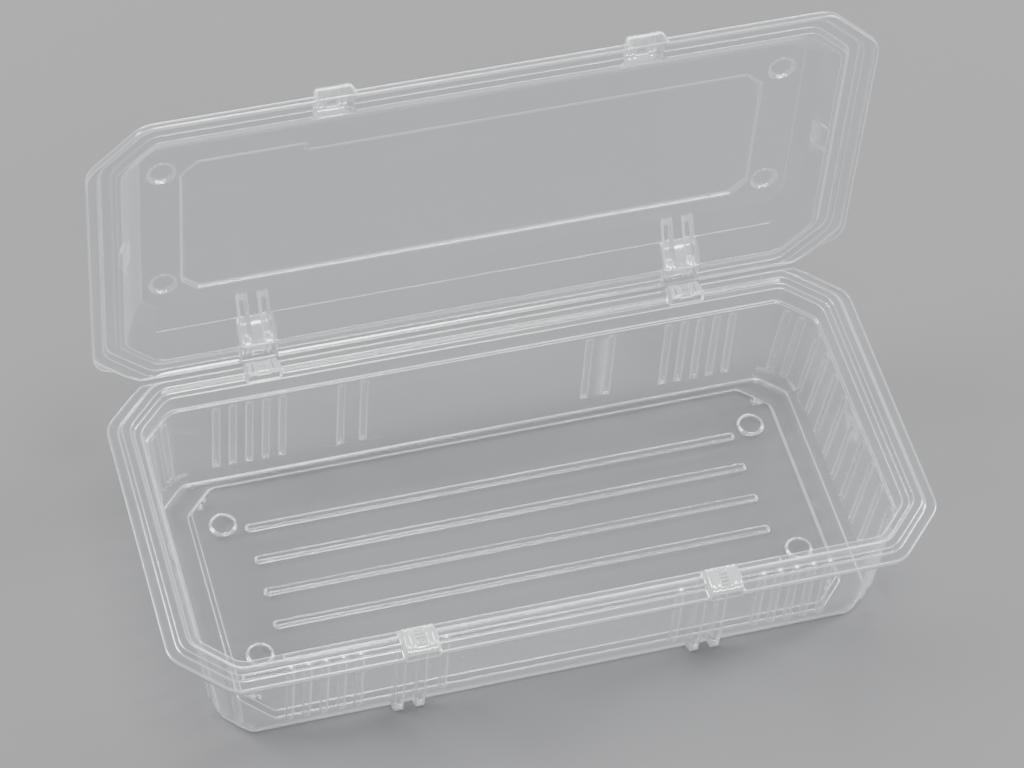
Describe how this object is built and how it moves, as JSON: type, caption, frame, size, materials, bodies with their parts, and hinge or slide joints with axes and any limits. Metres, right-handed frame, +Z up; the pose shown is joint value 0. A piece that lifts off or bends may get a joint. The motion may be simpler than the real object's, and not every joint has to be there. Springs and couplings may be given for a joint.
{
  "type": "clamshell pack",
  "caption": "Clear formed plastic clamshell pack: long cut-corner tray and shallow lid joined by ribbed hinge straps, with snap stations at the front.",
  "frame": {"origin": "on the table, below the middle of the pack as it stands with its lid upright", "axes": "+X along the pack, +Y from the snap side to the hinge side, +Z up"},
  "size_m": [0.2364, 0.1274, 0.1588],
  "materials": {
    "sheet": "clear, glossy"
  },
  "bodies": {
    "tray": {"tray": "sheet"},
    "lid": {"lid": "sheet"}
  },
  "joints": [
    {"name": "lid_hinge", "type": "hinge", "parent": "tray", "child": "lid", "pos_m": [0, 0.05216, 0.04217], "axis": [-1, 0, 0], "range_deg": [-90, 90]}
  ]
}
